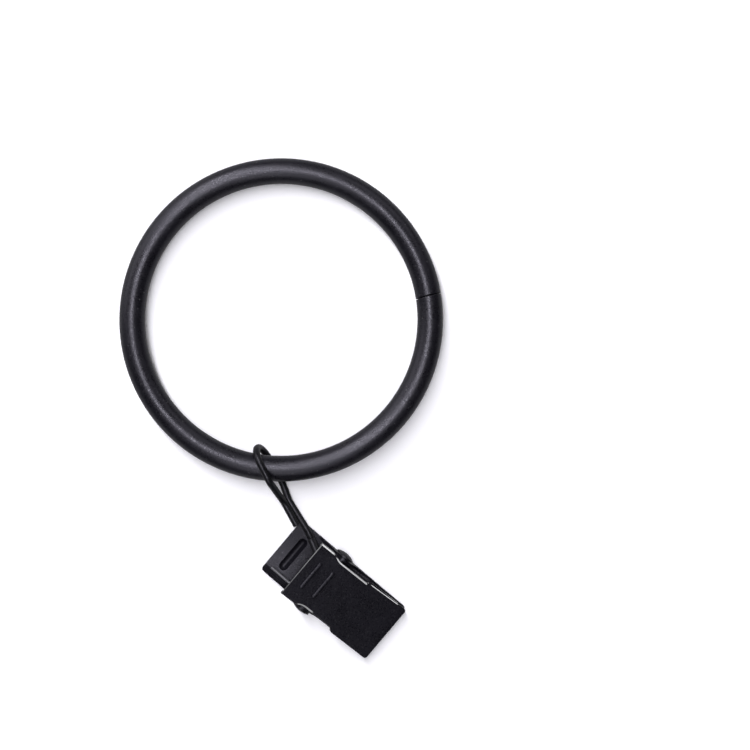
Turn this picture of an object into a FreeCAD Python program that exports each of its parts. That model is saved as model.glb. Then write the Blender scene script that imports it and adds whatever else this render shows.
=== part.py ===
"""Curtain ring with a hinged clip, lying on a flat surface.

Millimetres. The origin is the ring's centre and +Z points up. The ring lies flat apart from the wire
under it, the hook runs from the ring to the clip, and the clip lies on its back jaw.
"""
import FreeCAD, Part
import math
import os

Vector = FreeCAD.Vector
Y = Vector(0, 1, 0)
Z = Vector(0, 0, 1)

# Ring: a round tube bent to a circle, its two ends left as an open butt joint
ring_inner = 50.8
tube = 4.8
tube_wall = 0.6
seam_angle = 9.0
seam_gap = 0.16
seam_slant_angle = 6.0
seam_rounding = 0.12

# Hook: one bent wire, a loop round the ring's tube, a straight shank and an eye round the rivet
hook_wire = 1.3
hook_angle = 266.88
hook_heading = -61.4
loop_slack = 0.15
loop_reach = 4.75
loop_lean = 1.3
loop_shoulder = 1.75
loop_shoulder_aside = 1.5
loop_shoulder_bend = 1.6
neck_reach = 6.5
neck_bend = 2.2
leg_gap = 0.12
free_leg_end = 11.55
free_leg_rise = 0.25
shank_foot_reach = 3.3
shank_bow = 0.45
shank_bow_reach = 6.7
shank_bow_rise = 0.75
shank_bend = 5.0
shank_turn_reach = 13.5
shank_turn_rise = 0.2
shank_turn_bend = 8.0
eye_reach = 22.47
eye_aside = 0.63
eye_slack = 0.2
eye_skew_room = 0.1
eye_leg = 7.5
eye_leg_gap = 0.4
wire_end_rounding = 0.15
between_bends = 0.03

# Sheet of both jaws
sheet = 0.5
fold_radius = 0.45

# Back jaw, lying on the surface; lengths are measured along it from the rivet
clip_width = 12.0
clip_heading = -40.2
clip_offset = 1.39
back_top = 10.24
back_corner = 0.6
back_pin_height = 2.92
ear_radius = 1.9
ear_back_slope = 60.0
ear_front_slope = 55.0
ear_back_sweep = 4.4
ear_front_sweep = 4.2
back_flange_start = 1.7
back_flange_ramp = 0.5
back_flange_low = 0.25
back_flange_side = 1.2
back_flange_tip = 0.85
back_flange_end = 1.2
back_flange_rounding = 0.4
back_bead_first = 2.9
back_bead_second = 6.65
back_bead_length = 7.6
back_bead_width = 1.75
back_bead_depth = 0.5
back_lip = 0.7

# Front jaw, above the back jaw and turned about the rivet so that the tips meet
jaw_angle = 14.9
front_top = 5.78
front_tip = 15.35
front_pin_height = 2.59
front_width = 11.9
front_aside = -0.12
tab_flange = 1.1
tab_flange_end = 2.65
tab_flange_rounding = 0.8
tab_step_rounding = 0.25
jog_centre = -1.75
jog_length = 2.6
pivot_zone_end = 6.66
skirt = 1.1
skirt_tip = 0.85
skirt_sweep = 1.2
skirt_rounding = 0.4
blade_corner = 0.8
front_bead_first = 2.15
front_bead_second = 5.2
front_bead_length = 7.0
front_bead_width = 1.1
front_bead_depth = 0.2
tooth_count = 4
tooth_pitch = 2.5
tooth_height = 0.3
tip_gap = 0.08

# Rivet and its running fits
pin = 2.0
pin_clearance = 0.05
ear_gap = 0.18
head_diameter = 3.6
head_neck = 2.6
head_neck_length = 0.12
head_rim = 0.28
head_dome = 0.45
head_rounding = 0.1
head_gap = 0.06

# Torsion spring
spring_wire = 0.55
spring_bore_gap = 0.2
spring_turns = 2
spring_coil_gap = 0.04
spring_side_gap = 0.1
spring_seat_gap = 0.03
back_leg_short_of_top = 1.3
front_leg_short_of_top = 0.9

# Sizes that follow from those above
ring_radius = (ring_inner + tube) / 2
wire_radius = hook_wire / 2
spring_radius = (pin + spring_wire) / 2 + spring_bore_gap
spring_pitch = spring_wire + spring_coil_gap
wire_under_ring = hook_wire + loop_slack
ring_tilt = math.degrees(math.asin(wire_under_ring / (2 * ring_radius)))
ring_height = tube / 2 + wire_under_ring / 2
tube_height_at_hook = tube / 2 + wire_under_ring
pivot_width = clip_width - 2 * sheet - 2 * ear_gap
eye_radius = pin / 2 + wire_radius + eye_slack
tolerance = 1e-6


def cosine(angle):
    return math.cos(math.radians(angle))


def sine(angle):
    return math.sin(math.radians(angle))


# The back jaw rests on its second bead and on its tip, which tips it by a small angle
back_tip = front_tip * cosine(jaw_angle) + (front_pin_height - 2 * sheet) * sine(jaw_angle)
back_rest_span = back_tip - fold_radius + back_top - back_bead_second
back_tilt = math.degrees(math.atan(back_bead_depth / back_rest_span))
pin_height = (back_pin_height + sheet) * cosine(back_tilt) + (back_tip - fold_radius) * sine(back_tilt)

# Places on the surface: where the hook meets the ring's tube, the rivet's middle, and the floor's height
hook_point = Vector(ring_radius * cosine(hook_angle), ring_radius * sine(hook_angle), 0)
floor = -ring_height


def turned(shape, axis, angle, centre=Vector(0, 0, 0)):
    result = shape.copy()
    result.rotate(centre, axis, angle)
    return result


def moved(shape, offset):
    result = shape.copy()
    result.translate(offset)
    return result


def hook_to_world(along, aside, height):
    """A point of the hook: along the shank, aside to its left seen from the ring, and above the floor."""
    local = Vector(along, -aside, 0)
    spun = FreeCAD.Rotation(Z, hook_heading).multVec(local)
    return hook_point + spun + Vector(0, 0, floor + height)


clip_side = FreeCAD.Rotation(Z, clip_heading).multVec(Y)
pin_middle = hook_to_world(eye_reach, eye_aside, pin_height) - clip_side * clip_offset


def clip_to_world(shape):
    """From the clip's frame, with its origin in the rivet, +X to the tips and +Z off the back plate."""
    tipped = turned(shape, Y, back_tilt)
    return moved(turned(tipped, Z, clip_heading), pin_middle)


def front_to_clip(shape):
    """The front jaw turned to its closed place, and lying against one side of its play on the rivet."""
    return moved(turned(shape, Y, jaw_angle), Y * front_aside)


def rounded_corner(before, here, after, radius):
    """The tangent arc that rounds a corner, as its first, middle and last point."""
    back = (before - here).normalize()
    ahead = (after - here).normalize()
    half_turn = (math.pi - back.getAngle(ahead)) / 2
    leg = radius * math.tan(half_turn)
    inward = (back + ahead).normalize()
    middle = here + inward * (radius / math.cos(half_turn) - radius)
    return here + back * leg, middle, here + ahead * leg


def tangent_path(points, radii):
    """Straight runs between the points, joined at each inner point by an arc of the given radius."""
    edges = []
    start = points[0]
    for before, here, after, radius in zip(points, points[1:-1], points[2:], radii):
        first, middle, last = rounded_corner(before, here, after, radius)
        edges.append(Part.LineSegment(start, first).toShape())
        edges.append(Part.Arc(first, middle, last).toShape())
        start = last
    edges.append(Part.LineSegment(start, points[-1]).toShape())
    return Part.Wire(edges)


def side_block(corners, width):
    """A closed side view, given as corners (x, z, radius), extruded across the clip."""
    places = [Vector(x, 0, z) for x, z, _ in corners]
    count = len(corners)
    runs = []
    for index, (_, _, radius) in enumerate(corners):
        here = places[index]
        if radius:
            runs.append(rounded_corner(places[index - 1], here, places[(index + 1) % count], radius))
        else:
            runs.append((here,))
    edges = [Part.Arc(*run).toShape() for run in runs if len(run) == 3]
    for index, run in enumerate(runs):
        start = run[-1]
        end = runs[(index + 1) % count][0]
        edges.append(Part.LineSegment(start, end).toShape())
    face = Part.Face(Part.Wire(Part.__sortEdges__(edges)))
    return moved(face, Vector(0, -width / 2, 0)).extrude(Vector(0, width, 0))


def round_wire(path, diameter):
    """A round wire swept along a path."""
    first = path.OrderedEdges[0]
    start = first.valueAt(first.FirstParameter)
    heading = first.tangentAt(first.FirstParameter)
    section = Part.Face(Part.Wire(Part.Circle(start, heading, diameter / 2).toShape()))
    return Part.Solid(path.makePipe(section))


def rounded_ends(wire, radius):
    """The wire with the rims of its two cut ends rounded off."""
    ends = [face for face in wire.Faces if isinstance(face.Surface, Part.Plane)]
    rims = [edge for face in ends for edge in face.Edges]
    return wire.makeFillet(radius, rims)


def make_ring():
    """The tube's circle, cut through at the seam by a thin slanted gap."""
    bore = Part.makeTorus(ring_radius, tube / 2 - tube_wall)
    circle = Part.makeTorus(ring_radius, tube / 2).cut(bore)
    corner = Vector(ring_radius - tube, -seam_gap / 2, -tube)
    gap = Part.makeBox(2 * tube, seam_gap, 2 * tube, corner)
    gap = turned(gap, Z, seam_slant_angle, Vector(ring_radius, 0, 0))
    ring = circle.cut(turned(gap, Z, seam_angle)).Solids[0]
    ends = [face for face in ring.Faces if isinstance(face.Surface, Part.Plane)]
    rims = [edge for face in ends for edge in face.OuterWire.Edges]
    ring = ring.makeFillet(seam_rounding, rims)
    tilt_axis = Vector(-hook_point.y, hook_point.x, 0)
    return turned(ring, tilt_axis, -ring_tilt)


def hook_points():
    """The hook's corner points from its free end to its eye's end, and the bend radius at each."""
    ground = wire_radius
    over_tube = tube_height_at_hook + tube / 2 + loop_slack + wire_radius
    loop_bend = (over_tube - ground) / 2 - between_bends
    bow_height = ground + shank_bow_rise
    leg_over_bow = math.sqrt((hook_wire + leg_gap) ** 2 - (hook_wire - shank_bow) ** 2)
    free_leg_height = bow_height + leg_over_bow
    shank_low = pin_height - eye_radius
    eye_bend = eye_radius - between_bends
    eye_direction = math.atan2(eye_aside, eye_reach - shank_turn_reach)
    eye_end_height = shank_low + hook_wire + eye_leg_gap
    far = eye_reach + eye_radius + eye_skew_room
    far_aside = eye_aside + eye_radius * math.tan(eye_direction)
    leg_end = eye_reach - eye_leg * math.cos(eye_direction)
    leg_end_aside = eye_aside - eye_leg * math.sin(eye_direction)
    slope = (pin_height + eye_radius - eye_end_height) / eye_leg
    eye_top = pin_height + eye_radius * (1 + slope)
    table = [
        (free_leg_end, hook_wire, free_leg_height + free_leg_rise, None),
        (neck_reach, hook_wire, free_leg_height, neck_bend),
        (loop_shoulder, loop_shoulder_aside, over_tube, loop_shoulder_bend),
        (-loop_reach, loop_lean, over_tube, loop_bend),
        (-loop_reach, 0, ground, loop_bend),
        (shank_foot_reach, 0, ground, shank_bend),
        (shank_bow_reach, shank_bow, bow_height, shank_bend),
        (shank_turn_reach, 0, shank_low + shank_turn_rise, shank_turn_bend),
        (far, far_aside, shank_low, eye_bend),
        (far, far_aside, eye_top, eye_bend),
        (leg_end, leg_end_aside, eye_end_height, None),
    ]
    points = [hook_to_world(along, aside, height) for along, aside, height, _ in table]
    return points, [radius for _, _, _, radius in table[1:-1]]


def make_hook():
    points, radii = hook_points()
    return rounded_ends(round_wire(tangent_path(points, radii), hook_wire), wire_end_rounding)


def wave(level, amplitude, aside):
    """A wavy line along Y at a height: one arc for each half pitch, bulging down and up in turn."""
    arcs = []
    half = tooth_pitch / 2
    count = 2 * tooth_count
    for step in range(count):
        left = (step - count / 2) * half + aside
        bulge = -amplitude if step % 2 == 0 else amplitude
        start = Vector(0, left, level)
        middle = Vector(0, left + half / 2, level + bulge)
        end = Vector(0, left + half, level)
        arcs.append(Part.Arc(start, middle, end).toShape())
    return arcs


def lip(end, inner, level, width, outward, teeth_aside):
    """A jaw's turned end: its wall stands across the tip, and its free edge is a row of wavy teeth.

    Both jaws' teeth lie in line when the jaws are closed, so the front jaw's own shift is taken out of
    its teeth.
    """
    half = width / 2
    teeth = wave(level, tooth_height / 2, teeth_aside)
    first = teeth[0].valueAt(teeth[0].FirstParameter)
    last = teeth[-1].valueAt(teeth[-1].LastParameter)
    far = inner + outward * sheet / 2
    far_side = [Vector(0, half, far), Vector(0, -half, far)]
    corners = [last, Vector(0, half, level), *far_side, Vector(0, -half, level), first]
    sides = [Part.LineSegment(a, b).toShape() for a, b in zip(corners, corners[1:])]
    face = Part.Face(Part.Wire(Part.__sortEdges__(teeth + sides)))
    return moved(face, Vector(end - sheet, 0, 0)).extrude(Vector(sheet, 0, 0))


def at_height(edge, height):
    return all(abs(vertex.Z - height) < tolerance for vertex in edge.Vertexes)


def round_tip_fold(jaw, tip, height):
    """The jaw with the bend to its lip rounded."""
    level_edges = [edge for edge in jaw.Edges if at_height(edge, height)]
    fold = [edge for edge in level_edges if all(abs(v.X - tip) < tolerance for v in edge.Vertexes)]
    return jaw.makeFillet(fold_radius, fold)


def rounded_plan(start, end, width, low, high, radius):
    """A block as long and wide as a jaw's plate, with its four upright corners rounded."""
    block = Part.makeBox(end - start, width, high - low, Vector(start, -width / 2, low))
    upright = [e for e in block.Edges if not at_height(e, low) and not at_height(e, high)]
    return block.makeFillet(radius, upright)


def capsule(length, radius, centre):
    """A rod along Y with round ends."""
    straight = length - 2 * radius
    start = centre - Y * (straight / 2)
    rod = Part.makeCylinder(radius, straight, start, Y)
    balls = [Part.makeSphere(radius, start), Part.makeSphere(radius, start + Y * straight)]
    return rod.multiFuse(balls).removeSplitter()


def level_slab(low, high):
    """A slab wider than the clip between two heights."""
    size = 10 * clip_width
    bottom = min(low, high)
    return Part.makeBox(size, size, abs(high - low), Vector(-size / 2, -size / 2, bottom))


def bead_radius(width, depth):
    """The radius of a round bead's section from its width and its height."""
    return ((width / 2) ** 2 + depth**2) / (2 * depth)


def press_bead(plate, centre, surface, outward, ridge, ridge_length, groove_length):
    """A long bead pressed out of the plate: a ridge on the outer side and a groove on the inner side."""
    groove = ridge - sheet
    half_way = surface - outward * sheet / 2
    above = capsule(ridge_length, ridge, centre).common(level_slab(half_way, surface + outward * ridge))
    cutter = capsule(groove_length, groove, centre)
    inner = surface - outward * sheet
    if (centre.z - inner) * outward > 0:
        straight = groove_length - 2 * groove
        bottom = min(centre.z, inner - outward * sheet)
        corner = Vector(centre.x - groove, -straight / 2, bottom)
        cutter = cutter.fuse(Part.makeBox(2 * groove, straight, abs(centre.z - inner) + sheet, corner))
    return plate.fuse(above).cut(cutter)


def back_bead(jaw, along, outer):
    """A bead pressed down out of the back jaw; its sizes are those of the groove."""
    groove = bead_radius(back_bead_width, back_bead_depth)
    ridge = groove + sheet
    centre = Vector(along, 0, outer + ridge - back_bead_depth)
    ridge_length = back_bead_length + 2 * ridge - back_bead_width
    return press_bead(jaw, centre, outer, -1, ridge, ridge_length, back_bead_length)


def front_bead(jaw, along, outer):
    """A bead pressed up out of the front jaw; its sizes are those of the ridge."""
    ridge = bead_radius(front_bead_width, front_bead_depth)
    centre = Vector(along, 0, outer - ridge + front_bead_depth)
    return press_bead(jaw, centre, outer, 1, ridge, front_bead_length, front_bead_length - 2 * sheet)


def pin_hole():
    radius = pin / 2 + pin_clearance
    return Part.makeCylinder(radius, 2 * clip_width, Vector(0, -clip_width, 0), Y)


def ear_side(angle, height):
    """Where a line that touches the ear's round edge, at an angle from the tips, crosses a height."""
    return (ear_radius - height * sine(angle)) / cosine(angle)


def make_back_jaw():
    """The plate on the surface, its sides folded up to a low flange and to an ear round the rivet."""
    inner = -back_pin_height
    outer = inner - sheet
    length = back_top + back_tip
    height = sheet + back_pin_height + ear_radius
    channel = Part.makeBox(length, clip_width, height, Vector(-back_top, -clip_width / 2, outer))
    bends = [e for e in channel.Edges if at_height(e, outer) and e.BoundBox.XLength > length / 2]
    channel = channel.makeFillet(fold_radius, bends)
    inside = clip_width - 2 * sheet
    hollow = Part.makeBox(3 * length, inside, height, Vector(-1.5 * length, -inside / 2, inner))
    channel = channel.cut(hollow)

    below = outer - sheet
    start = -back_top + back_flange_start
    low = inner + back_flange_low
    side = inner + back_flange_side
    end = back_tip - back_flange_end
    back_angle = 90 + ear_back_slope
    front_angle = 90 - ear_front_slope
    ear_peak = (back_angle + front_angle) / 2
    peak_reach = ear_radius / cosine((back_angle - front_angle) / 2)
    keep = side_block(
        [
            (-back_top - sheet, below, 0),
            (-back_top - sheet, inner, 0),
            (start, inner, 0),
            (start + back_flange_ramp, low, back_flange_rounding),
            (ear_side(back_angle, low), low, ear_back_sweep),
            (peak_reach * cosine(ear_peak), peak_reach * sine(ear_peak), ear_radius),
            (ear_side(front_angle, side), side, ear_front_sweep),
            (end, inner + back_flange_tip, back_flange_rounding),
            (end, inner, 0),
            (back_tip + sheet, inner, 0),
            (back_tip + sheet, below, 0),
        ],
        2 * clip_width,
    )
    jaw = channel.common(keep)
    jaw = jaw.common(rounded_plan(-back_top, back_tip, clip_width, below, ear_radius + sheet, back_corner))
    tip_wall = lip(back_tip, inner, inner + back_lip, clip_width - 2 * back_corner, -1, 0)
    jaw = round_tip_fold(jaw.fuse(tip_wall).removeSplitter(), back_tip, outer)
    for distance in (back_bead_first, back_bead_second):
        jaw = back_bead(jaw, distance - back_top, outer)
    return jaw.cut(pin_hole())


def s_bend(start, end):
    """Two equal arcs from one point to another, both ends running along X."""
    along = (end.x - start.x) / 2
    across = (end.y - start.y) / 2
    radius = (along**2 + across**2) / (2 * abs(across))
    half_turn = math.atan(abs(across) / along)
    rise = radius * (1 - math.cos(half_turn))
    bulge = Vector(radius * math.sin(half_turn), math.copysign(rise, across), 0)
    middle = (start + end) / 2
    return [Part.Arc(start, start + bulge, middle).toShape(), Part.Arc(middle, end - bulge, end).toShape()]


def front_plan(shrink, top, end):
    """The front jaw's plan from the tab's top edge to the pivot zone's end, with a smooth jog each side."""
    wide = front_width / 2 - shrink
    narrow = pivot_width / 2 - shrink
    begin = jog_centre - jog_length / 2
    finish = jog_centre + jog_length / 2
    edges = []
    for side in (1, -1):
        corners = [Vector(top, side * wide, 0), Vector(begin, side * wide, 0)]
        corners += [Vector(finish, side * narrow, 0), Vector(end, side * narrow, 0)]
        edges.append(Part.LineSegment(corners[0], corners[1]).toShape())
        edges += s_bend(corners[1], corners[2])
        edges.append(Part.LineSegment(corners[2], corners[3]).toShape())
    edges.append(Part.LineSegment(Vector(top, wide, 0), Vector(top, -wide, 0)).toShape())
    edges.append(Part.LineSegment(Vector(end, narrow, 0), Vector(end, -narrow, 0)).toShape())
    return Part.Face(Part.Wire(Part.__sortEdges__(edges)))


def make_pan(inner):
    """The front jaw's plate behind and over the rivet, with the tab's low flanges."""
    outer = inner + sheet
    bottom = inner - tab_flange
    pan = moved(front_plan(0, -front_top, pivot_zone_end), Vector(0, 0, bottom)).extrude(Z * (outer - bottom))
    folds = [e for e in pan.Edges if at_height(e, outer) and e.BoundBox.XLength > sheet]
    pan = pan.makeFillet(fold_radius, folds)
    hollow = front_plan(sheet, -front_top - sheet, pivot_zone_end + sheet)
    hollow = moved(hollow, Vector(0, 0, bottom - sheet))
    pan = pan.cut(hollow.extrude(Z * (inner - bottom + sheet)))
    over_ear = ear_radius + ear_gap
    behind = -front_top - sheet
    ahead = pivot_zone_end + sheet
    above = outer + sheet
    keep = side_block(
        [
            (behind, above, 0),
            (behind, inner, 0),
            (-front_top, inner, 0),
            (-front_top, bottom, tab_flange_rounding),
            (-tab_flange_end, bottom, tab_step_rounding),
            (-tab_flange_end, over_ear, tab_step_rounding),
            (ahead, over_ear, 0),
            (ahead, above, 0),
        ],
        2 * clip_width,
    )
    return pan.common(keep)


def make_front_ears(inner):
    """The two walls under the front jaw's plate that hold the rivet, inside the back jaw's ears."""
    turn = ear_radius - between_bends
    outline = side_block(
        [
            (-ear_radius, inner, 0),
            (-ear_radius, -ear_radius, turn),
            (ear_radius, -ear_radius, turn),
            (ear_radius, inner - skirt, skirt_sweep),
            (pivot_zone_end, inner - skirt_tip, skirt_rounding),
            (pivot_zone_end, inner, 0),
        ],
        pivot_width,
    )
    between = pivot_width - 2 * sheet
    size = 2 * front_tip
    return outline.cut(Part.makeBox(size, between, size, Vector(-size / 2, -between / 2, -size / 2)))


def make_blade(inner):
    """The front jaw's flat blade with its turned and toothed lip, its corners rounded in plan."""
    start = pivot_zone_end - blade_corner
    plate = Part.makeBox(front_tip - start, front_width, sheet, Vector(start, -front_width / 2, inner))
    lip_width = front_width - 2 * blade_corner
    wall = lip(front_tip, inner, inner - front_lip_depth(), lip_width, 1, -front_aside)
    blade = round_tip_fold(plate.fuse(wall).removeSplitter(), front_tip, inner + sheet)
    low = inner - back_pin_height
    return blade.common(rounded_plan(start, front_tip, front_width, low, inner + 2 * sheet, blade_corner))


def make_front_jaw():
    """The upper jaw: a tab to press, ears folded down round the rivet, and a flat blade with a lip."""
    inner = front_pin_height
    jaw = make_pan(inner).fuse([make_front_ears(inner), make_blade(inner)]).removeSplitter()
    for distance in (front_bead_first, front_bead_second):
        jaw = front_bead(jaw, distance - front_top, inner + sheet)
    return front_to_clip(jaw.cut(pin_hole()))


def front_lip_depth():
    """How far the front lip's teeth reach below the blade, so that they just clear the back lip."""
    teeth_above_back = back_lip + tip_gap
    foot = (back_tip - sheet) * sine(jaw_angle)
    opening = (front_pin_height - foot) / cosine(jaw_angle) + back_pin_height
    return (opening - teeth_above_back) * cosine(jaw_angle) - sheet * math.tan(math.radians(jaw_angle))


def is_rim(edge, radius, distance):
    """Whether an edge is the circle of a radius about the rivet's axis, at a distance from its middle."""
    box = edge.BoundBox
    in_place = abs(box.YLength) < tolerance and abs(abs(box.YMax) - distance) < tolerance
    return in_place and abs(box.XMax - radius) < head_rounding


def make_rivet():
    """The pivot pin, turned about its axis, with a domed head on a short neck at each end."""
    neck_start = clip_width / 2 + head_gap
    neck_end = neck_start + head_neck_length
    edge = neck_end + head_rim
    top = edge + head_dome
    rim = head_diameter / 2
    dome_radius = bead_radius(head_diameter, head_dome)
    half_turn = math.asin(rim / dome_radius) / 2
    half_profile = [
        (pin / 2, 0),
        (pin / 2, neck_start),
        (head_neck / 2, neck_start),
        (head_neck / 2, neck_end),
        (rim, neck_end),
        (rim, edge),
    ]
    crown = (dome_radius * math.sin(half_turn), top - dome_radius * (1 - math.cos(half_turn)))
    profile = [Part.LineSegment(Vector(0, -top, 0), Vector(0, top, 0)).toShape()]
    for side in (1, -1):
        points = [Vector(x, side * y, 0) for x, y in half_profile]
        profile += [Part.LineSegment(a, b).toShape() for a, b in zip(points, points[1:])]
        middle = Vector(crown[0], side * crown[1], 0)
        profile.append(Part.Arc(points[-1], middle, Vector(0, side * top, 0)).toShape())
    face = Part.Face(Part.Wire(Part.__sortEdges__(profile)))
    rivet = face.revolve(Vector(0, 0, 0), Y, 360)
    rims = [e for e in rivet.Edges if not e.Degenerated and is_rim(e, rim, edge)]
    return rivet.makeFillet(head_rounding, rims)


def leg_angle(x, z):
    """The direction of a point from the coil's axis, and how far before it a straight leg leaves the coil."""
    return math.atan2(z, x), math.acos(spring_radius / math.hypot(x, z))


def make_spring():
    """Close turns round the rivet by the left ears, with a leg lying on each jaw's tab."""
    left = -(pivot_width / 2 - sheet - spring_side_gap - spring_wire / 2)
    seat = spring_wire / 2 + spring_seat_gap
    back_foot = (back_leg_short_of_top - back_top, seat - back_pin_height)
    along = front_leg_short_of_top - front_top
    above = front_pin_height - seat
    front_foot = (
        along * cosine(jaw_angle) + above * sine(jaw_angle),
        above * cosine(jaw_angle) - along * sine(jaw_angle),
    )
    toward, spread = leg_angle(*back_foot)
    begin = toward + spread
    toward, spread = leg_angle(*front_foot)
    sweep = toward - spread - begin
    while sweep < 2 * math.pi * spring_turns:
        sweep += 2 * math.pi

    def on_coil(angle):
        y = left + spring_pitch * angle / (2 * math.pi)
        return Vector(spring_radius * math.cos(begin + angle), y, spring_radius * math.sin(begin + angle))

    steps = math.ceil(sweep / (math.pi / 2))
    edges = [Part.LineSegment(Vector(back_foot[0], left, back_foot[1]), on_coil(0)).toShape()]
    for step in range(steps):
        a = sweep * step / steps
        b = sweep * (step + 1) / steps
        edges.append(Part.Arc(on_coil(a), on_coil((a + b) / 2), on_coil(b)).toShape())
    last = on_coil(sweep)
    edges.append(Part.LineSegment(last, Vector(front_foot[0], last.y, front_foot[1])).toShape())
    return round_wire(Part.Wire(edges), spring_wire)


def main():
    nodes = {
        "ring": make_ring(),
        "hook": make_hook(),
        "back_jaw": clip_to_world(make_back_jaw()),
        "front_jaw": clip_to_world(make_front_jaw()),
        "rivet": clip_to_world(make_rivet()),
        "spring": clip_to_world(make_spring()),
    }
    os.makedirs("parts", exist_ok=True)
    for name, shape in nodes.items():
        shape.exportStep(os.path.join("parts", name + ".step"))
        print(f"{name}: solids {len(shape.Solids)} valid {shape.isValid()} volume {shape.Volume:.2f}")


main()
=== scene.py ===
import math

import bpy
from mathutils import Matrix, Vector


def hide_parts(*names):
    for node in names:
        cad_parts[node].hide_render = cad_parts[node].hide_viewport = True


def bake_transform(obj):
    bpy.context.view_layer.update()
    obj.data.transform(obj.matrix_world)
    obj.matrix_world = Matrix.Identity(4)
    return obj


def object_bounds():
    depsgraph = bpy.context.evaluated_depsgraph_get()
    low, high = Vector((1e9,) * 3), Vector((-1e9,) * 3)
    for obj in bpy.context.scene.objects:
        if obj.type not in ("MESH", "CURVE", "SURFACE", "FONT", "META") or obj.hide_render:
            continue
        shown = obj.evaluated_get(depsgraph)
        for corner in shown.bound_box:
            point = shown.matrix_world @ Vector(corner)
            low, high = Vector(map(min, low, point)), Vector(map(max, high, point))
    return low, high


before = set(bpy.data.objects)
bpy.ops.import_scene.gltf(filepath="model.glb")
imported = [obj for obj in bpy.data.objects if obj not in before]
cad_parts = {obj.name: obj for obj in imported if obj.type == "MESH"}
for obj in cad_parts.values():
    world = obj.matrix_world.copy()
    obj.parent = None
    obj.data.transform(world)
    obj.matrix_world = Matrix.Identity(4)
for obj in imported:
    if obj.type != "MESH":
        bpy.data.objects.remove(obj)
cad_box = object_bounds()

MM = 0.001
FLOOR = cad_box[0][2]
UP = (0.0, 0.0, 1.0)

# The clip's own directions and its pivot, in the part's frame
CLIP_ALONG = (0.7638, -0.6455, 0.0)
CLIP_ASIDE = (0.6455, 0.7638, 0.0)
PIVOT = (7.79 * MM, -48.85 * MM, 0.0)

# Sizes of the paint's textures, as noise scales
CLOUD_SCALE = 210.0
MARKS_SCALE = 900.0
PEEL_SCALE = 1100.0
DUST_AND_GLINT_SCALE = 2300.0
GRAIN_SCALE = 4200.0
PEEL_DEPTH = 0.05 * MM
GRAIN_DEPTH = 0.09 * MM

# Light grey painted into the colour as the highlights on the jaws' fold edges.
PAINTED_HIGHLIGHT_GREY = (0.85, 0.85, 0.87, 1.0)
# Light grey of the specks, which are dust and painted glints.
DUST_AND_GLINT_GREY = (0.16, 0.16, 0.17, 1.0)
COOL_GLOSS = (0.88, 0.85, 1.0, 1.0)
WHITE = (1.0, 1.0, 1.0, 1.0)

AIM = (0.0, -0.01, 0.0)
TABLE_HALF = 3.0
CAMERA_HEIGHT = 300.0  # mm above the part's origin
VIEW_WIDTH = 139.95  # mm of the table plane across the photograph
SENSOR = 36.0


def new_material(name):
    material = bpy.data.materials.new(name)
    material.use_nodes = True
    material.node_tree.nodes.clear()
    return material, material.node_tree


def add(tree, kind, inputs=(), **settings):
    node = tree.nodes.new(kind)
    for key, value in settings.items():
        setattr(node, key, value)
    for socket, value in dict(inputs).items():
        if isinstance(value, bpy.types.NodeSocket):
            tree.links.new(value, node.inputs[socket])
        else:
            node.inputs[socket].default_value = value
    return node


def ramp(tree, value, low, high, to_low=0.0, to_high=1.0):
    node = add(tree, "ShaderNodeMapRange", {"Value": value, "From Min": low, "From Max": high})
    node.inputs["To Min"].default_value = to_low
    node.inputs["To Max"].default_value = to_high
    return node.outputs["Result"]


def math_node(tree, operation, a, b, c=0.0):
    node = add(tree, "ShaderNodeMath", {0: a, 1: b, 2: c}, operation=operation)
    return node.outputs[0]


def mix_color(tree, factor, a, b):
    node = tree.nodes.new("ShaderNodeMix")
    node.data_type = "RGBA"
    for index, value in ((0, factor), (6, a), (7, b)):
        if isinstance(value, bpy.types.NodeSocket):
            tree.links.new(value, node.inputs[index])
        else:
            node.inputs[index].default_value = value
    return node.outputs[2]


def noise(tree, where, scale, detail, roughness=0.5):
    node = add(tree, "ShaderNodeTexNoise", {"Vector": where, "Scale": scale, "Detail": detail})
    node.inputs["Roughness"].default_value = roughness
    return node.outputs["Fac"]


def dot(tree, vector, direction):
    node = add(tree, "ShaderNodeVectorMath", {0: vector, 1: direction}, operation="DOT_PRODUCT")
    return node.outputs["Value"]


def between(tree, value, low, low_end, high_start, high):
    """1 where the value is inside the two soft limits, 0 outside."""
    rise = ramp(tree, value, low, low_end)
    fall = ramp(tree, value, high, high_start)
    return math_node(tree, "MULTIPLY", rise, fall)


def clip_sense(tree, where):
    """Where a point of the clip lies and which way its surface faces, along the clip, across it and upward."""
    normal = add(tree, "ShaderNodeTexCoord").outputs["Normal"]
    offset = add(tree, "ShaderNodeVectorMath", {0: where, 1: PIVOT}, operation="SUBTRACT").outputs[0]
    return {
        "height": dot(tree, offset, UP),
        "place": dot(tree, offset, CLIP_ALONG),
        "out": dot(tree, offset, CLIP_ASIDE),
        "along": dot(tree, normal, CLIP_ALONG),
        "aside": dot(tree, normal, CLIP_ASIDE),
        "up": dot(tree, normal, UP),
    }


def product(tree, *values):
    result = values[0]
    for value in values[1:]:
        result = math_node(tree, "MULTIPLY", result, value)
    return result


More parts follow.
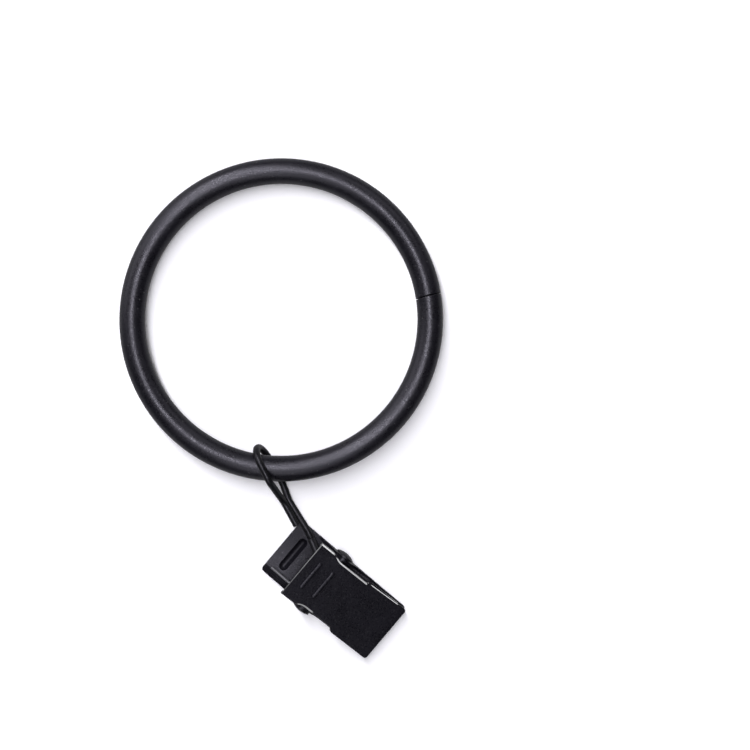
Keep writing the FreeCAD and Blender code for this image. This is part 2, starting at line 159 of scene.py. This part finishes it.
def fold_highlight_mask(tree, sense):
    """Painted highlights where the light catches the sheet: light grey on the upper jaw's right-hand fold and edge,
    the fold over its left ear, the tab's end and a thin strip beside the blade's right edge.
    """
    place, out, along, aside, up = (sense[key] for key in ("place", "out", "along", "aside", "up"))
    upward = ramp(tree, up, 0.08, 0.25)
    raised = ramp(tree, sense["height"], 2.7 * MM, 2.9 * MM)
    tab = product(tree, raised, ramp(tree, place, -1.6 * MM, -2.0 * MM))
    skirt = product(tree, ramp(tree, out, 5.48 * MM, 5.38 * MM), ramp(tree, place, -2.0 * MM, -1.6 * MM))
    right = product(
        tree,
        between(tree, aside, 0.30, 0.50, 0.90, 0.98),
        ramp(tree, out, 3.9 * MM, 4.05 * MM),
        math_node(tree, "MAXIMUM", tab, skirt),
        ramp(tree, place, 7.9 * MM, 7.6 * MM),
        ramp(tree, place, -2.5 * MM, 3.0 * MM, 1.0, 0.65),
    )
    left = product(
        tree,
        between(tree, aside, -0.16, -0.34, -0.97, -0.995),
        ramp(tree, out, -4.1 * MM, -4.3 * MM),
        between(tree, place, -1.3 * MM, -0.9 * MM, 1.8 * MM, 2.2 * MM),
        0.5,
    )
    end = product(tree, ramp(tree, along, -0.5, -0.8), ramp(tree, out, -6.0 * MM, 6.0 * MM, 0.08, 0.32), raised)
    middle = math_node(tree, "MULTIPLY_ADD", place, 0.04, 5.19 * MM)
    beside = math_node(tree, "SUBTRACT", out, middle)
    # Painted highlight: a thin light strip on the blade's top, beside its right edge.
    rim_highlight = product(
        tree,
        between(tree, beside, -0.12 * MM, -0.08 * MM, 0.02 * MM, 0.06 * MM),
        between(tree, place, 7.1 * MM, 7.4 * MM, 13.3 * MM, 13.6 * MM),
        ramp(tree, up, 0.6, 0.8, 0.0, 0.8),
    )
    mask = math_node(tree, "MAXIMUM", math_node(tree, "MAXIMUM", right, left), end)
    return math_node(tree, "MAXIMUM", math_node(tree, "MULTIPLY", mask, upward), rim_highlight)


def sheet_specular_with_painted_shade(tree, sense, specular):
    """Painted shade: the sheet's specular level is turned down on bead sides facing back along the clip, on the
    lower jaw's left flange, by the wire and past the painted highlight strip on the blade.
    """
    place, out, along = sense["place"], sense["out"], sense["along"]
    bead_side_shade = ramp(tree, along, -0.02, -0.2, 1.0, 0.1)
    lower = ramp(tree, sense["height"], 2.9 * MM, 2.7 * MM)
    flange_shade = product(tree, lower, ramp(tree, place, -1.0 * MM, -2.0 * MM), ramp(tree, out, -4.5 * MM, -4.7 * MM))
    flange_shade = ramp(tree, flange_shade, 0.0, 1.0, 1.0, 0.1)
    shade_by_wire = product(tree, lower, ramp(tree, place, -4.0 * MM, -5.0 * MM), ramp(tree, out, -2.5 * MM, 2.5 * MM))
    shade_by_wire = ramp(tree, shade_by_wire, 0.0, 1.0, 1.0, 0.5)
    edge = math_node(tree, "MULTIPLY_ADD", place, 0.04, 5.36 * MM)
    shade_past_highlight_strip = ramp(tree, math_node(tree, "SUBTRACT", out, edge), 0.0, 0.1 * MM)
    shade_past_highlight_strip = ramp(tree, product(tree, shade_past_highlight_strip, ramp(tree, place, 2.0 * MM, 3.0 * MM)), 0.0, 1.0, 1.0, 0.15)
    return product(tree, bead_side_shade, flange_shade, shade_by_wire, shade_past_highlight_strip, specular)


def polishing_marks(tree, where):
    """Fine marks that run round the ring's tube, so they repeat along its circle."""
    split = add(tree, "ShaderNodeSeparateXYZ", {0: where})
    turn = math_node(tree, "ARCTAN2", split.outputs["Y"], split.outputs["X"])
    reach = add(tree, "ShaderNodeVectorMath", {0: where}, operation="LENGTH").outputs["Value"]
    line = add(
        tree,
        "ShaderNodeCombineXYZ",
        {
            0: math_node(tree, "MULTIPLY", turn, 200.0),
            1: math_node(tree, "MULTIPLY", reach, 700.0),
            2: math_node(tree, "MULTIPLY", split.outputs["Z"], 700.0),
        },
    )
    return noise(tree, line.outputs[0], 1.0, 2.0)


def black_paint(name, base, light, worn, rough, rough_spread, grain, orange_peel, edge_radius, edge_wear, specular,
                marks_depth=0.0, fold_highlights=False, flecks=0.0):
    """Baked black paint on steel: fine grain, cloudy gloss, small rubbed marks, light specks of dust and painted
    glints, and thin worn edges.

    base and light are the paint's two tones, worn is its rubbed colour. marks_depth adds the polishing marks of
    the ring; the fold switch paints highlights in light grey on the jaws' fold edges; flecks sets the light specks,
    part dust and part painted glints.
    """
    material, tree = new_material(name)
    where = add(tree, "ShaderNodeTexCoord").outputs["Object"]
    cloud = noise(tree, where, CLOUD_SCALE, 3.0)
    fine = noise(tree, where, GRAIN_SCALE, 2.0)
    peel = noise(tree, where, PEEL_SCALE, 2.0)
    stretched = add(tree, "ShaderNodeMapping", {"Vector": where, "Scale": (1.0, 0.22, 1.0), "Rotation": (0, 0, 0.9)})
    marks = noise(tree, stretched.outputs[0], MARKS_SCALE, 5.0, 0.62)
    rubbed = ramp(tree, marks, 0.66, 0.78)

    tone = mix_color(tree, ramp(tree, cloud, 0.3, 0.7), (*base, 1.0), (*light, 1.0))
    speck = ramp(tree, fine, 0.62, 0.8, 0.0, 0.35)
    tone = mix_color(tree, speck, tone, (*worn, 1.0))
    tone = mix_color(tree, math_node(tree, "MULTIPLY", rubbed, 0.3), tone, (*worn, 1.0))
    # Light specks in the colour: partly dust, partly painted glints standing in for the sparkle on the ring's
    # highlight.
    dust_and_glints = noise(tree, where, DUST_AND_GLINT_SCALE, 1.0)
    tone = mix_color(tree, ramp(tree, dust_and_glints, 0.72, 0.78, 0.0, flecks), tone, DUST_AND_GLINT_GREY)

    soft = add(tree, "ShaderNodeBevel", {"Radius": edge_radius}, samples=6).outputs["Normal"]
    true = add(tree, "ShaderNodeNewGeometry").outputs["Normal"]
    facing = add(tree, "ShaderNodeVectorMath", {0: soft, 1: true}, operation="DOT_PRODUCT").outputs["Value"]
    edge = ramp(tree, facing, 0.985, 0.86)
    chipped = math_node(tree, "MULTIPLY", edge, ramp(tree, marks, 0.42, 0.6, 0.25, 1.0))
    edge_mask = math_node(tree, "MULTIPLY", chipped, edge_wear)
    tone = mix_color(tree, edge_mask, tone, (*worn, 1.0))
    plain_specular = specular
    if fold_highlights:
        sense = clip_sense(tree, where)
        # Painted highlights: light grey mixed into the colour along the jaws' fold edges, broken up by the marks
        # noise.
        painted_highlight = math_node(tree, "MULTIPLY", fold_highlight_mask(tree, sense), ramp(tree, marks, 0.3, 0.45, 0.75, 1.0))
        tone = mix_color(tree, painted_highlight, tone, PAINTED_HIGHLIGHT_GREY)
        # Painted shade: the sheet's specular level is lowered where shade falls.
        specular = sheet_specular_with_painted_shade(tree, sense, specular)

    gloss = ramp(tree, cloud, 0.25, 0.75, rough - rough_spread, rough + rough_spread)
    gloss = math_node(tree, "SUBTRACT", gloss, math_node(tree, "MULTIPLY", rubbed, 0.06))
    gloss = math_node(tree, "SUBTRACT", gloss, math_node(tree, "MULTIPLY", edge_mask, 0.1))
    gloss = math_node(tree, "ADD", gloss, ramp(tree, fine, 0.3, 0.7, -0.10, 0.14))
    bumps = add(tree, "ShaderNodeBump", {"Height": peel, "Strength": orange_peel, "Distance": PEEL_DEPTH})
    if marks_depth:
        bumps = add(
            tree,
            "ShaderNodeBump",
            {"Height": polishing_marks(tree, where), "Strength": 1.0, "Distance": marks_depth,
             "Normal": bumps.outputs[0]},
        )
    bumps = add(
        tree,
        "ShaderNodeBump",
        {"Height": fine, "Strength": grain, "Distance": GRAIN_DEPTH, "Normal": bumps.outputs[0]},
    )
    shader = add(
        tree,
        "ShaderNodeBsdfPrincipled",
        {"Base Color": tone, "Roughness": gloss, "Normal": bumps.outputs[0], "Specular IOR Level": specular},
    )
    shader.inputs["Specular Tint"].default_value = COOL_GLOSS
    shader.inputs["Specular IOR Level"].default_value = plain_specular
    output = add(tree, "ShaderNodeOutputMaterial", {"Surface": shader.outputs[0]})
    output.is_active_output = True
    return material


paints = {
    "ring_paint": black_paint(
        "ring_paint", (0.0035, 0.0033, 0.0052), (0.0055, 0.0052, 0.0080), (0.03, 0.03, 0.034),
        0.35, 0.05, 0.25, 0.12, 0.08 * MM, 0.3, 0.44, 0.017 * MM, False, 0.3,
    ),
    "wire_paint": black_paint(
        "wire_paint", (0.004, 0.004, 0.0046), (0.006, 0.006, 0.007), (0.05, 0.05, 0.054),
        0.34, 0.04, 0.25, 0.2, 0.05 * MM, 0.3, 0.28,
    ),
    "sheet_paint": black_paint(
        "sheet_paint", (0.0034, 0.0032, 0.0050), (0.0055, 0.0052, 0.0080), (0.08, 0.08, 0.086),
        0.33, 0.04, 0.3, 0.25, 0.06 * MM, 0.25, 0.31, 0.0, True, 0.05,
    ),
    "rivet_paint": black_paint(
        "rivet_paint", (0.0035, 0.0035, 0.0042), (0.0055, 0.0055, 0.0066), (0.06, 0.06, 0.065),
        0.34, 0.04, 0.25, 0.2, 0.05 * MM, 0.4, 0.3,
    ),
    "spring_paint": black_paint(
        "spring_paint", (0.05, 0.05, 0.055), (0.09, 0.09, 0.097), (0.2, 0.2, 0.21),
        0.30, 0.04, 0.2, 0.15, 0.04 * MM, 0.4, 0.7,
    ),
}

slot_of = {"ring": "ring_paint", "hook": "wire_paint", "back_jaw": "sheet_paint", "front_jaw": "sheet_paint",
           "rivet": "rivet_paint", "spring": "spring_paint"}
for node, slot in slot_of.items():
    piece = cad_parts[node]
    for place in piece.material_slots:
        place.material = paints[slot]
    if not piece.material_slots:
        piece.data.materials.append(paints[slot])

# The spring's own shape once more, as a copy in the spring paint shown in place of the hidden spring node; on the
# real clip its upper leg stays against the upper jaw's tab when the jaws open.
spring_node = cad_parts["spring"]
spring_wire = bpy.data.objects.new("spring_wire", spring_node.data.copy())
spring_wire.matrix_world = spring_node.matrix_world
bpy.context.scene.collection.objects.link(spring_wire)
spring_wire.data.materials.clear()
spring_wire.data.materials.append(paints["spring_paint"])
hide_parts("spring")
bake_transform(spring_wire)


def make_floor():
    """A table that the camera sees as white, with its shadow kept. The far part glows, so that it stays white."""
    material, tree = new_material("white_table")
    path = add(tree, "ShaderNodeLightPath")
    table = add(tree, "ShaderNodeBsdfDiffuse", {"Color": (0.33, 0.33, 0.34, 1.0)})
    white = add(tree, "ShaderNodeBsdfDiffuse", {"Color": (0.93, 0.92, 0.98, 1.0)})
    where = add(tree, "ShaderNodeTexCoord").outputs["Object"]
    reach = add(tree, "ShaderNodeVectorMath", {0: where}, operation="LENGTH").outputs["Value"]
    far = ramp(tree, reach, 0.13, 0.40, 0.07, 1.0)
    glow = add(tree, "ShaderNodeEmission", {"Color": WHITE, "Strength": far})
    shown = add(tree, "ShaderNodeAddShader", {0: white.outputs[0], 1: glow.outputs[0]})
    mirrored = math_node(tree, "MAXIMUM", path.outputs["Is Glossy Ray"], path.outputs["Is Transmission Ray"])
    seen = math_node(tree, "MAXIMUM", path.outputs["Is Camera Ray"], math_node(tree, "MULTIPLY", mirrored, 0.1))
    mixed = add(tree, "ShaderNodeMixShader", {0: seen, 1: table.outputs[0], 2: shown.outputs[0]})
    add(tree, "ShaderNodeOutputMaterial", {"Surface": mixed.outputs[0]})
    mesh = bpy.data.meshes.new("table")
    corners = ((-1, -1), (1, -1), (1, 1), (-1, 1))
    mesh.from_pydata([(x * TABLE_HALF, y * TABLE_HALF, FLOOR) for x, y in corners], [], [(0, 1, 2, 3)])
    mesh.materials.append(material)
    table = bpy.data.objects.new("table", mesh)
    bpy.context.scene.collection.objects.link(table)


def make_world():
    """A dim room for the light and the reflections, white to the camera."""
    world = bpy.data.worlds.new("studio")
    bpy.context.scene.world = world
    world.use_nodes = True
    tree = world.node_tree
    tree.nodes.clear()
    path = add(tree, "ShaderNodeLightPath")
    room = add(tree, "ShaderNodeBackground", {"Color": WHITE, "Strength": 0.028})
    white = add(tree, "ShaderNodeBackground", {"Color": WHITE, "Strength": 1.0})
    mixed = add(
        tree, "ShaderNodeMixShader", {0: path.outputs["Is Camera Ray"], 1: room.outputs[0], 2: white.outputs[0]}
    )
    add(tree, "ShaderNodeOutputWorld", {"Surface": mixed.outputs[0]})


def area_light(name, place, width, height, power):
    data = bpy.data.lights.new(name, "AREA")
    data.shape = "RECTANGLE"
    data.size = width
    data.size_y = height
    data.energy = power
    lamp = bpy.data.objects.new(name, data)
    bpy.context.scene.collection.objects.link(lamp)
    lamp.location = place
    toward = Vector(AIM) - Vector(place)
    lamp.rotation_euler = toward.to_track_quat("-Z", "Y").to_euler()


def make_camera():
    """Straight above the table, with the photograph's frame."""
    data = bpy.data.cameras.new("camera")
    data.sensor_width = SENSOR
    data.lens = SENSOR * CAMERA_HEIGHT / VIEW_WIDTH
    data.clip_start = 0.01
    camera = bpy.data.objects.new("camera", data)
    bpy.context.scene.collection.objects.link(camera)
    camera.location = (17.49 * MM, -10.35 * MM, CAMERA_HEIGHT * MM)
    camera.rotation_euler = (0.0, 0.0, 0.0)
    bpy.context.scene.camera = camera


make_floor()
make_world()
make_camera()
area_light("key_softbox", (-0.115, 0.225, 0.54), 0.10, 0.75, 4.5)
area_light("fill_softbox", (-0.03, -0.27, 0.50), 0.24, 0.55, 0.95)
area_light("left_wall", (-0.50, 0.33, 0.24), 0.60, 0.45, 1.3)
area_light("back_wall", (0.28, 0.42, 0.32), 0.40, 0.30, 0.4)
bpy.context.scene.view_settings.view_transform = "Standard"
